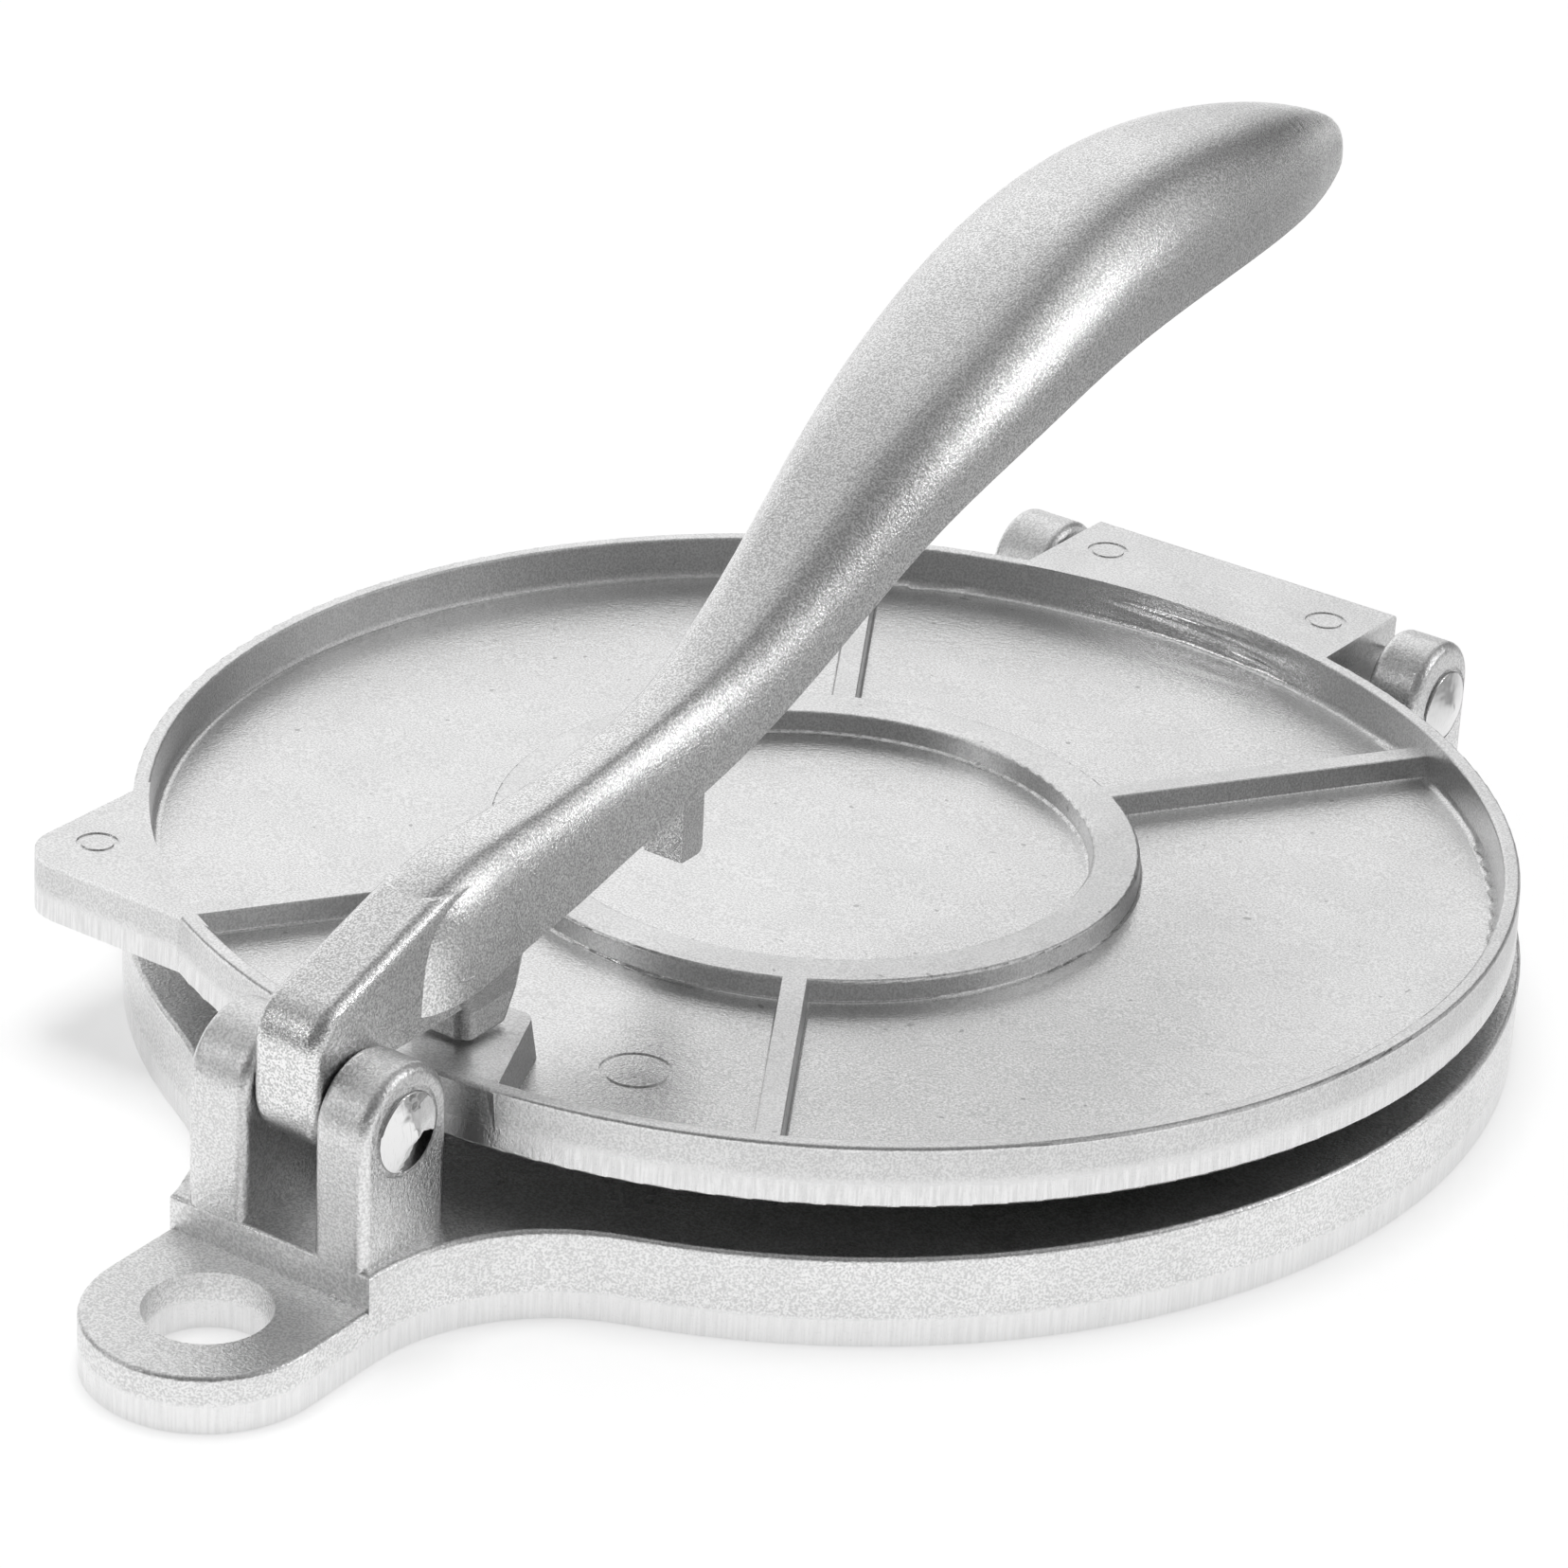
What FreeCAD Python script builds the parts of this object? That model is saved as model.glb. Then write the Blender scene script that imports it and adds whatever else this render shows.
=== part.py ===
import FreeCAD, Part
import math
import os
from FreeCAD import Vector

# A lever tortilla press in cast aluminium, in millimetres.
# +Z is up, +Y points from the lever pivot at the front to the plate hinge at
# the back, and the origin is the middle of the base, on the table.

# Base casting, a shallow round pan turned upside down
press_radius = 100.0
base_height = 13.3
base_draft = 0.3
base_rim_wall = 4.5
base_skin = 4.3
base_rib_width = 3.2
hub_radius = 13.0
pan_fillet = 2.0
edge_round = 0.7

# Front neck and the hanging lug in front of it, a little left of the middle
neck_offset = -1.3
neck_side_margin = 1.9
neck_front_lip = 0.1
neck_blend_right = 30.0
neck_blend_left = 57.0
lug_height = 8.3
lug_hole_from_pivot = 20.9
lug_hole_radius = 8.6
lug_edge_round = 0.7

# Lever pivot, ahead of the disc, and the two ears that carry it
pivot_from_rim = 14.0
pivot_height = 30.5
pin_radius = 3.0
ear_inner = 5.6
ear_thickness_right = 8.4
ear_thickness_left = 9.7
ear_depth = 17.4
ear_crown_lift = 0.4
ear_round = 1.5
running_fit = 0.06
side_clearance = 0.3

# Chromed push-on caps and the toothed washers inside them
cap_radius = 5.6
cap_height = 2.5
cap_rim_height = 0.9
cap_wall = 0.4
cap_crease = 0.3
recess_margin = 0.7
recess_depth = 0.6
pin_stick_out = 0.9
pin_chamfer = 0.3
washer_thickness = 0.3
washer_inset = 0.1
tooth_slot_width = 1.0
tooth_slot_depth = 1.2
tooth_count = 6

# Plate hinge, behind the disc
hinge_from_rim = 10.0
hinge_height = 14.5
hinge_inner_right = 30.9
hinge_inner_left = 28.1
hinge_ear_thickness_right = 9.0
hinge_ear_thickness_left = 10.0
hinge_ear_depth = 16.8
hinge_crown_lift = 2.1
hinge_ear_from_hinge = 7.4
hinge_floor = 6.5
bracket_round = 2.5

# Top plate casting, a round tray with a rim
plate_inset = 1.0
plate_gap = 2.0
plate_height = 8.7
plate_draft = 0.4
plate_rim_width = 2.3
plate_rim_draft = 0.5
plate_floor = 2.4
floor_fillet = 1.2
rim_round = 0.5
opening_at_rest_deg = 1.5

# Ring and cross ribs on the tray floor
ring_outer = 46.4
ring_inner = 39.7
ring_offset_x = -0.8
ring_offset_y = -1.7
ring_height = 3.3
rib_top_width = 3.5
rib_draft = 0.3
rib_fillet = 0.9
rib_angle_deg = 57.4
rib_angle_crossing_deg = 59.6

# Thumb tab on the rim, inside the square round the disc
tab_side_inset = 23.0
tab_front_inset = 13.3
tab_round = 7.0
tab_mark_side_inset = 7.0
tab_mark_front_inset = 9.5
tab_mark_radius = 3.0

# Hinge tongue behind the rim
tongue_side_gap = 1.1
tongue_back_from_hinge = 6.2
tongue_back_round = 1.0
barrel_front_from_hinge = 7.8
barrel_drop = 5.2
barrel_round = 4.5
tongue_hub_radius = 6.0
tongue_mark_inset = 7.1
tongue_mark_from_hinge = 3.6
tongue_mark_radius = 3.2
floor_mark_x = 19.0
floor_mark_from_rim = 28.5
floor_mark_radius = 5.0
mark_depth = 0.2
mark_width = 0.7

# Raised pad that the lever's foot bears on
pad_top_drop = 0.4
pad_half_width = 6.0
pad_flare = 9.0
pad_length = 19.0
pad_draft = 0.8
pad_corner = 2.0

# Lever handle, a trough that is open underneath and ends over the hinge
handle_past_hinge = 21.4
lever_rise = 76.7
handle_half_width = 16.0
arm_wall = 2.4

# Lever neck, the slab between the ears
eye_radius = 7.4
eye_back = 0.6
eye_lift = 2.1
slab_front = 8.0
slab_shoulder_lift = 14.6
slab_shoulder_round = 7.0
slab_top_run = 17.0
slab_top_lift = 22.6
slab_under_lift = 5.0
slab_run = 30.0
slab_round = 2.0

# Foot under the elbow, which pushes the top plate down
foot_front = 24.0
foot_length = 9.4
foot_half_width = 5.0
foot_corner = 2.2
foot_tip_round = 1.0
boss_height = 5.2
boss_front = 22.7
boss_length = 12.3
boss_half_width = 5.7
flare_height = 12.6
flare_front = 17.0
flare_length = 17.8
flare_half_width = 7.9
flare_corner = 3.8
foot_clearance = 0.3

# Peg under the arm, which meets the ring at full press
peg_from_ring = 3.6
peg_length = 4.8
peg_half_width = 3.2
peg_tip_lift = 4.9
peg_root_sink = 1.2
peg_corner = 1.2

# One overrun serves every cut and every buried joint, and a full round keeps
# this share of the radius that would leave no straight between its two arcs
overrun = 2.0
full_round_share = 0.999

# Lever stations as shares of the reach, of the rise (underside, then crown)
# and of the handle's half width, then the squareness and taper of the section
lever_station_shares = [
    (0.053, 0.098, 0.270, 0.300, 3.6, 0.10),
    (0.073, 0.103, 0.300, 0.455, 3.6, 0.16),
    (0.100, 0.122, 0.324, 0.525, 3.6, 0.22),
    (0.130, 0.138, 0.333, 0.505, 3.6, 0.24),
    (0.179, 0.155, 0.338, 0.460, 3.6, 0.24),
    (0.240, 0.190, 0.356, 0.428, 3.5, 0.24),
    (0.301, 0.235, 0.394, 0.468, 3.4, 0.22),
    (0.350, 0.300, 0.453, 0.555, 3.2, 0.18),
    (0.403, 0.389, 0.549, 0.640, 3.1, 0.14),
    (0.485, 0.541, 0.720, 0.800, 2.9, 0.08),
    (0.566, 0.645, 0.850, 0.940, 2.8, 0.03),
    (0.648, 0.722, 0.953, 0.995, 2.7, 0.02),
    (0.729, 0.757, 1.000, 0.980, 2.7, 0.02),
    (0.811, 0.767, 0.998, 0.893, 2.7, 0.02),
    (0.880, 0.765, 0.966, 0.735, 2.6, 0.02),
    (0.937, 0.758, 0.918, 0.500, 2.6, 0.02),
    (0.968, 0.761, 0.882, 0.345, 2.5, 0.02),
    (0.988, 0.772, 0.850, 0.225, 2.4, 0.02),
    (1.000, 0.789, 0.812, 0.080, 2.3, 0.02),
]
section_point_count = 13
hollow_from_share = 0.115
hollow_to_share = 0.955

# Places worked out from the sizes above
pivot_y = -press_radius - pivot_from_rim
ear_outer_right = ear_inner + ear_thickness_right
ear_outer_left = ear_inner + ear_thickness_left
neck_half_width = (ear_outer_right + ear_outer_left) / 2 + neck_side_margin
neck_front = pivot_y - ear_depth / 2 - neck_front_lip
lug_hole_y = pivot_y - lug_hole_from_pivot
hinge_y = press_radius + hinge_from_rim
hinge_outer_right = hinge_inner_right + hinge_ear_thickness_right
hinge_outer_left = hinge_inner_left + hinge_ear_thickness_left
hinge_ear_back = hinge_y + hinge_ear_from_hinge
recess_radius = cap_radius + recess_margin
plate_radius = press_radius - plate_inset
plate_low = base_height + plate_gap
plate_high = plate_low + plate_height
tray_floor = plate_low + plate_floor
ring_top = tray_floor + ring_height
rim_inner = plate_radius - plate_draft - plate_rim_width
pad_top = plate_high - pad_top_drop
tab_side = -press_radius + tab_side_inset
tab_front = -press_radius + tab_front_inset
tongue_half_width = hinge_inner_left - tongue_side_gap
lever_reach = hinge_y + handle_past_hinge - pivot_y
slab_half_width = ear_inner - side_clearance
hinge_axis_point = Vector(0, hinge_y, hinge_height)


def outline(corners, place):
    """Closed wire through corners (u, v, radius), each rounded by its radius."""
    spans = []
    for index, (u, v, radius) in enumerate(corners):
        corner = Vector(u, v, 0)
        last = corners[index - 1]
        following = corners[(index + 1) % len(corners)]
        back = Vector(last[0], last[1], 0) - corner
        ahead = Vector(following[0], following[1], 0) - corner
        back.normalize()
        ahead.normalize()
        if radius == 0:
            spans.append((corner, None, corner))
            continue
        half_angle = back.getAngle(ahead) / 2
        reach = radius / math.tan(half_angle)
        inwards = back + ahead
        inwards.normalize()
        depth = radius / math.sin(half_angle) - radius
        spans.append((corner + back * reach, corner + inwards * depth, corner + ahead * reach))
    edges = []
    for index, (start, middle, finish) in enumerate(spans):
        points = [place(point.x, point.y) for point in (start, finish)]
        if middle is not None:
            edges.append(Part.Arc(points[0], place(middle.x, middle.y), points[1]).toShape())
        following = spans[(index + 1) % len(spans)][0]
        target = place(following.x, following.y)
        if points[1].distanceToPoint(target) > Part.Precision.confusion():
            edges.append(Part.LineSegment(points[1], target).toShape())
    return Part.Wire(edges)


def upright(corners, low, high):
    """A plan outline in X and Y, raised from one height to another."""
    face = Part.Face(outline(corners, lambda u, v: Vector(u, v, low)))
    return face.extrude(Vector(0, 0, high - low))


def across(corners, left, right):
    """A side outline in Y and Z, drawn out along X."""
    face = Part.Face(outline(corners, lambda u, v: Vector(left, u, v)))
    return face.extrude(Vector(right - left, 0, 0))


def turned(corners):
    """An outline in radius and height, turned round the Z axis."""
    face = Part.Face(outline(corners, lambda u, v: Vector(u, 0, v)))
    return face.revolve(Vector(0, 0, 0), Vector(0, 0, 1), 360)


def rod_x(radius, left, right, y, z):
    return Part.makeCylinder(radius, right - left, Vector(left, y, z), Vector(1, 0, 0))


def rod_z(radius, low, high, x, y):
    return Part.makeCylinder(radius, high - low, Vector(x, y, low))


def block(x_low, x_high, y_low, y_high, z_low, z_high):
    size = (x_high - x_low, y_high - y_low, z_high - z_low)
    return Part.makeBox(*size, Vector(x_low, y_low, z_low))


def mirrored(shape):
    return shape.mirror(Vector(0, 0, 0), Vector(1, 0, 0))


def joined(shapes):
    return shapes[0].multiFuse(shapes[1:]).removeSplitter()


def rounded_edges(shape, radius, wanted):
    """The shape with a fillet on every edge that passes the test."""
    edges = [edge for edge in shape.Edges if wanted(edge)]
    return shape.makeFillet(radius, edges)


# Base casting


def clevis_ear(inner, outer, front, back, low, crown):
    """One ear with a round top, its edges eased all round above its foot."""
    radius = (back - front) / 2
    corners = [(back, low, 0), (back, crown, radius * full_round_share)]
    corners += [(front, crown, radius * full_round_share), (front, low, 0)]
    ear = across(corners, inner, outer)

    def on_a_side_face(edge):
        box = edge.BoundBox
        flat = box.XLength < Part.Precision.confusion()
        return flat and box.ZMax > low + Part.Precision.confusion()

    return rounded_edges(ear, ear_round, on_a_side_face)


def lever_ear(outer):
    crown = pivot_height + ear_crown_lift + ear_depth / 2
    return clevis_ear(ear_inner, outer, pivot_y - ear_depth / 2, pivot_y + ear_depth / 2,
                      base_height - base_skin, crown)


def hinge_ear(inner, outer, pan_radius):
    """One hinge ear with the cheek that ties it to the disc."""
    cheek = block(inner, outer, 0, hinge_ear_back - hinge_ear_depth / 2, 0, base_height)
    cheek = cheek.cut(rod_z(pan_radius, -overrun, base_height + overrun, 0, 0))
    crown = hinge_height + hinge_crown_lift + hinge_ear_depth / 2
    ear = clevis_ear(inner, outer, hinge_ear_back - hinge_ear_depth, hinge_ear_back, 0, crown)
    return cheek.fuse(ear)


def cap_recess(outer, y, z):
    return rod_x(recess_radius, outer - recess_depth, outer + overrun, y, z)


def neck_web(side, blend):
    """The hollow curve that runs from the neck's front corner on to the disc."""
    corner = Vector(side, neck_front, 0)
    reach = press_radius + blend
    along = (reach ** 2 + corner.Length ** 2 - blend ** 2) / corner.Length / 2
    aside = math.sqrt(reach ** 2 - along ** 2)
    corner.normalize()
    middle = corner * along + Vector(-corner.y, corner.x, 0) * aside
    web = block(0, middle.x * press_radius / reach, neck_front, 0, 0, base_height)
    return web.cut(rod_z(blend, -overrun, base_height + overrun, middle.x, middle.y))


def base_outline():
    """The base's full-height plan: disc, front neck and the blends between."""
    disc = rod_z(press_radius, 0, base_height, 0, 0)
    left = neck_half_width - neck_offset
    right = neck_half_width + neck_offset
    neck = block(-left, right, neck_front, 0, 0, base_height)
    return joined([disc, neck, neck_web(right, neck_blend_right), mirrored(neck_web(left, neck_blend_left))])


def base_casting():
    body = base_outline()

    def on_the_top_edge(edge):
        box = edge.BoundBox
        return box.ZLength < Part.Precision.confusion() and box.ZMax > base_height / 2

    body = rounded_edges(body, edge_round, on_the_top_edge)

    pan_radius = press_radius - base_rim_wall
    pan_top = base_height - base_skin
    pan = turned([(0, -overrun, 0), (pan_radius + base_draft, -overrun, 0),
                  (pan_radius - base_draft, pan_top, pan_fillet), (0, pan_top, 0)])
    body = body.cut(pan)

    inside = rod_z(pan_radius + base_draft, 0, base_height - base_skin / 2, 0, 0)
    half = base_rib_width / 2
    bar = block(-press_radius, press_radius, -half, half, 0, base_height - base_skin / 2)
    ribs = []
    for turn in (rib_angle_deg, -rib_angle_deg):
        rib = bar.copy()
        rib.rotate(Vector(0, 0, 0), Vector(0, 0, 1), turn)
        ribs.append(rib.common(inside))
    hub = rod_z(hub_radius, 0, base_height - base_skin / 2, 0, 0)

    lug_tip = lug_hole_y - neck_half_width
    lug_left = neck_offset - neck_half_width
    lug_right = neck_offset + neck_half_width
    tip_round = neck_half_width * full_round_share
    lug_plan = [(lug_left, -press_radius, 0), (lug_left, lug_tip, tip_round),
                (lug_right, lug_tip, tip_round), (lug_right, -press_radius, 0)]
    lug = upright(lug_plan, 0, lug_height)

    def on_the_lug_rim(edge):
        box = edge.BoundBox
        level = box.ZLength < Part.Precision.confusion() and box.ZMax > lug_height / 2
        return level and box.YMin < -press_radius - Part.Precision.confusion()

    lug = rounded_edges(lug, lug_edge_round, on_the_lug_rim)

    bracket = upright([(-hinge_outer_left, 0, 0), (hinge_outer_right, 0, 0),
                       (hinge_outer_right, hinge_ear_back, bracket_round),
                       (-hinge_outer_left, hinge_ear_back, bracket_round)], 0, hinge_floor)
    bracket = bracket.cut(rod_z(pan_radius, -overrun, base_height, 0, 0))

    body = joined([body, *ribs, hub, lug, bracket, lever_ear(ear_outer_right),
                   mirrored(lever_ear(ear_outer_left)),
                   hinge_ear(hinge_inner_right, hinge_outer_right, pan_radius),
                   mirrored(hinge_ear(hinge_inner_left, hinge_outer_left, pan_radius))])
    cuts = [rod_z(lug_hole_radius, -overrun, base_height, neck_offset, lug_hole_y)]
    for y, z, left, right in ((pivot_y, pivot_height, ear_outer_left, ear_outer_right),
                              (hinge_y, hinge_height, hinge_outer_left, hinge_outer_right)):
        cuts.append(rod_x(pin_radius, -left - overrun, right + overrun, y, z))
        cuts.append(cap_recess(right, y, z))
        cuts.append(mirrored(cap_recess(left, y, z)))
    return body.cut(cuts).removeSplitter()


# Pins, caps and toothed washers


def pin(left, right, y, z):
    end = pin_stick_out - recess_depth
    rod = rod_x(pin_radius, -left - end, right + end, y, z)

    def on_an_end(edge):
        return edge.BoundBox.XLength < Part.Precision.confusion()

    return rod.makeChamfer(pin_chamfer, [edge for edge in rod.Edges if on_an_end(edge)])


def cap(outer, y, z):
    """A thin cap with a low cone for its face, open towards the ear."""
    seat = outer - recess_depth
    inner_radius = cap_radius - cap_wall
    slope = (cap_height - cap_rim_height) / cap_radius
    inner_apex = cap_height - cap_wall
    inner_rim = inner_apex - slope * inner_radius
    corners = [(cap_radius, 0, 0), (cap_radius, cap_rim_height, cap_crease), (0, cap_height, 0),
               (0, inner_apex, 0), (inner_radius, inner_rim, 0), (inner_radius, 0, 0)]
    shell = Part.Face(outline(corners, lambda u, v: Vector(seat + v, y, z + u)))
    return shell.revolve(Vector(seat, y, z), Vector(1, 0, 0), 360)


def toothed_washer(outer, y, z):
    seat = outer - recess_depth
    radius = cap_radius - cap_wall - washer_inset
    disc = rod_x(radius, seat, seat + washer_thickness, y, z)
    disc = disc.cut(rod_x(pin_radius, seat - overrun, seat + overrun, y, z))
    half = tooth_slot_width / 2
    slot = block(seat - overrun, seat + overrun, y - half, y + half, z, z + pin_radius + tooth_slot_depth)
    slots = []
    for index in range(tooth_count):
        copy = slot.copy()
        copy.rotate(Vector(seat, y, z), Vector(1, 0, 0), index * 360 / tooth_count)
        slots.append(copy)
    return disc.cut(slots)


# Top plate casting


def to_rest(shape):
    """The closed plate, swung open by the small angle that it rests at."""
    shape.rotate(hinge_axis_point, Vector(1, 0, 0), -opening_at_rest_deg)
    return shape


def tray():
    return turned([(0, plate_low, 0), (plate_radius, plate_low, rim_round),
                   (plate_radius - plate_draft, plate_high, rim_round), (rim_inner, plate_high, rim_round),
                   (rim_inner - plate_rim_draft, tray_floor, floor_fillet), (0, tray_floor, 0)])


def ring():
    low = tray_floor - plate_floor / 2
    foot_round = rib_fillet / 2
    band = turned([(ring_inner - rib_fillet, low, 0), (ring_outer + rib_fillet, low, 0),
                   (ring_outer + rib_fillet, tray_floor, 0),
                   (ring_outer + rib_draft, tray_floor, foot_round),
                   (ring_outer, ring_top, rim_round), (ring_inner, ring_top, rim_round),
                   (ring_inner - rib_draft, tray_floor, foot_round),
                   (ring_inner - rib_fillet, tray_floor, 0)])
    band.translate(Vector(ring_offset_x, ring_offset_y, 0))
    return band


def cross_rib(turn):
    """One straight rib from the ring to the rim, flared at its foot."""
    low = tray_floor - plate_floor / 2
    half = rib_top_width / 2
    foot = half + rib_draft
    foot_round = rib_fillet / 2
    top_round = rim_round / 2
    corners = [(-foot - rib_fillet, low, 0), (foot + rib_fillet, low, 0),
               (foot + rib_fillet, tray_floor, 0), (foot, tray_floor, foot_round),
               (half, ring_top, top_round), (-half, ring_top, top_round),
               (-foot, tray_floor, foot_round), (-foot - rib_fillet, tray_floor, 0)]
    start = (ring_inner + ring_outer) / 2
    finish = (rim_inner + plate_radius) / 2
    face = Part.Face(outline(corners, lambda u, v: Vector(start, u, v)))
    rib = face.extrude(Vector(finish - start, 0, 0))
    rib.rotate(Vector(0, 0, 0), Vector(0, 0, 1), turn)
    rib.translate(Vector(ring_offset_x / 2, ring_offset_y / 2, 0))
    return rib


def thumb_tab():
    """The corner left of the front that fills out the circle to a square."""
    plan = [(tab_side, 0, 0), (tab_side, tab_front, tab_round), (0, tab_front, 0), (0, 0, 0)]
    return upright(plan, plate_low, plate_high)


def tongue():
    tongue_back = hinge_y + tongue_back_from_hinge
    barrel_front = hinge_y - barrel_front_from_hinge
    side = [(0, plate_low, 0), (0, plate_high, 0), (tongue_back, plate_high, tongue_back_round),
            (tongue_back, hinge_height - barrel_drop, barrel_round),
            (barrel_front, hinge_height - barrel_drop, barrel_round), (barrel_front, plate_low, 0)]
    body = across(side, -tongue_half_width, tongue_half_width)
    hub = rod_x(tongue_hub_radius, side_clearance - hinge_inner_left,
                hinge_inner_right - side_clearance, hinge_y, hinge_height)
    return joined([body, hub])


def ring_mark(x, y, radius, level):
    """The shallow circle that a moulding pin leaves on a casting."""
    outer = rod_z(radius, level - mark_depth, level + overrun, x, y)
    return outer.cut(rod_z(radius - mark_width, level - overrun, level + overrun * 2, x, y))


def pad():
    """The raised pad inside the front of the rim, wider towards the rim."""
    low = tray_floor - plate_floor / 2
    front = -(rim_inner + plate_radius) / 2
    back = -rim_inner + pad_length
    wide = pad_half_width + pad_flare

    def plan(extra):
        return [(-wide - extra, front, 0), (wide + extra, front, 0),
                (pad_half_width + extra, back + extra, pad_corner),
                (-pad_half_width - extra, back + extra, pad_corner)]

    foot = outline(plan(pad_draft), lambda u, v: Vector(u, v, low))
    top = outline(plan(0), lambda u, v: Vector(u, v, pad_top))
    return Part.makeLoft([foot, top], True)


def top_plate():
    pan = tray()
    hollow = rod_z(rim_inner, tray_floor, plate_high + overrun, 0, 0)
    edge_parts = joined([thumb_tab(), tongue()]).cut(hollow)
    ribs = [cross_rib(turn) for turn in (rib_angle_deg, 180 - rib_angle_crossing_deg,
                                         180 + rib_angle_deg, -rib_angle_crossing_deg)]
    body = joined([pan, edge_parts, ring(), *ribs, pad()])
    bore_radius = pin_radius + running_fit
    cuts = [rod_x(bore_radius, -hinge_inner_left, hinge_inner_right, hinge_y, hinge_height)]
    cuts.append(ring_mark(tab_side + tab_mark_side_inset, tab_front + tab_mark_front_inset,
                          tab_mark_radius, plate_high))
    tongue_mark_x = tongue_half_width - tongue_mark_inset
    for x in (-tongue_mark_x, tongue_mark_x):
        cuts.append(ring_mark(x, hinge_y - tongue_mark_from_hinge, tongue_mark_radius, plate_high))
    floor_mark_y = -press_radius + floor_mark_from_rim
    cuts.append(ring_mark(floor_mark_x, floor_mark_y, floor_mark_radius, tray_floor))
    return to_rest(body.cut(cuts).removeSplitter())


# Lever


def arch_points(station, inset, drop):
    """Points of the arch across the handle at one station, from its right foot to its left."""
    run_share, base_share, crown_share, width_share, squareness, taper_share = station
    y = pivot_y + lever_reach * run_share
    base = pivot_height + lever_rise * base_share - drop
    height = lever_rise * (crown_share - base_share) - inset + drop
    half_width = handle_half_width * width_share - inset
    points = []
    for index in range(section_point_count):
        angle = math.pi * index / (section_point_count - 1)
        lift_share = abs(math.sin(angle)) ** (2 / squareness)
        side_share = math.copysign(abs(math.cos(angle)) ** (2 / squareness), math.cos(angle))
        x = half_width * (1 - taper_share * lift_share) * side_share
        points.append(Vector(x, y, base + height * lift_share))
    return points


def loft(stations, inset, drop):
    """A loft through the arches, each closed by a flat base and all spaced like the middle one."""
    arches = [arch_points(station, inset, drop) for station in stations]
    pattern = arches[len(arches) // 2]
    steps = [start.distanceToPoint(finish) for start, finish in zip(pattern, pattern[1:])]
    spacing = [sum(steps[:index]) / sum(steps) for index in range(len(pattern))]
    wires = []
    for points in arches:
        arch = Part.BSplineCurve()
        arch.interpolate(Points=points, Parameters=spacing)
        wires.append(Part.Wire([arch.toShape(), Part.LineSegment(points[-1], points[0]).toShape()]))
    return Part.makeLoft(wires, True)


def handle():
    """The outer form, and the core that leaves it open below and walled all round."""
    hollowed = [station for station in lever_station_shares
                if hollow_from_share < station[0] < hollow_to_share]
    return loft(lever_station_shares, 0, 0), loft(hollowed, arm_wall, overrun)


def neck_slab():
    eye_y = pivot_y - eye_back
    eye_z = pivot_height + eye_lift
    front = pivot_y - slab_front
    shoulder = pivot_height + slab_shoulder_lift
    eye_round = eye_radius * full_round_share
    corners = [(front, eye_z - eye_radius, eye_round), (front, shoulder, slab_shoulder_round),
               (pivot_y + slab_top_run, pivot_height + slab_top_lift, 0),
               (pivot_y + slab_run, pivot_height + slab_top_lift, 0),
               (pivot_y + slab_run, pivot_height + slab_under_lift, 0),
               (eye_y + eye_radius, pivot_height + slab_under_lift, 0),
               (eye_y + eye_radius, eye_z - eye_radius, eye_round)]
    slab = across(corners, -slab_half_width, slab_half_width)

    def on_the_nose_or_top(edge):
        box = edge.BoundBox
        flat = box.XLength < Part.Precision.confusion()
        outer = box.YMin < pivot_y or box.ZMax > shoulder
        return flat and outer and box.YMax < pivot_y + slab_top_run + Part.Precision.confusion()

    return rounded_edges(slab, slab_round, on_the_nose_or_top)


def foot():
    """A rounded boss under a flare that widens into the arm."""
    rest_angle = math.radians(opening_at_rest_deg)
    front_y = pivot_y + foot_front
    pad_drop = (pad_top - hinge_height) * math.cos(rest_angle)
    pad_rise = (hinge_y - front_y) * math.tan(rest_angle)
    tip_z = hinge_height + pad_drop + pad_rise + foot_clearance

    def oblong(run, length, half_width, corner, lift):
        front = pivot_y + run
        back = front + length
        corners = [(-half_width, front, corner), (half_width, front, corner),
                   (half_width, back, corner), (-half_width, back, corner)]
        return outline(corners, lambda u, v: Vector(u, v, tip_z + lift))

    wires = [oblong(foot_front, foot_length, foot_half_width, foot_corner, 0),
             oblong(boss_front, boss_length, boss_half_width, foot_corner, boss_height),
             oblong(flare_front, flare_length, flare_half_width, flare_corner, flare_height)]
    solid = Part.makeLoft(wires, True, True)

    def on_the_tip(edge):
        return edge.BoundBox.ZMax < tip_z + Part.Precision.confusion()

    return rounded_edges(solid, foot_tip_round, on_the_tip)


def crown_height(y):
    """Height of the handle's crown at one place along it, straight between the stations."""
    share = (y - pivot_y) / lever_reach
    for start, finish in zip(lever_station_shares, lever_station_shares[1:]):
        if start[0] <= share <= finish[0]:
            part = (share - start[0]) / (finish[0] - start[0])
            return pivot_height + lever_rise * (start[2] + part * (finish[2] - start[2]))
    return pivot_height


def peg():
    y = ring_offset_y - ring_inner + peg_from_ring
    half = peg_length / 2
    tip = pivot_height + peg_tip_lift
    root = crown_height(y) - peg_root_sink
    corners = [(y - half, tip, 0), (y + half, tip, peg_corner), (y + half, root, 0), (y - half, root, 0)]
    return across(corners, -peg_half_width, peg_half_width)


def lever():
    shell, core = handle()
    body = joined([shell.cut(core), neck_slab(), foot(), peg()])
    bore = rod_x(pin_radius + running_fit, -ear_outer_left, ear_outer_right, pivot_y, pivot_height)
    return body.cut(bore)


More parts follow.
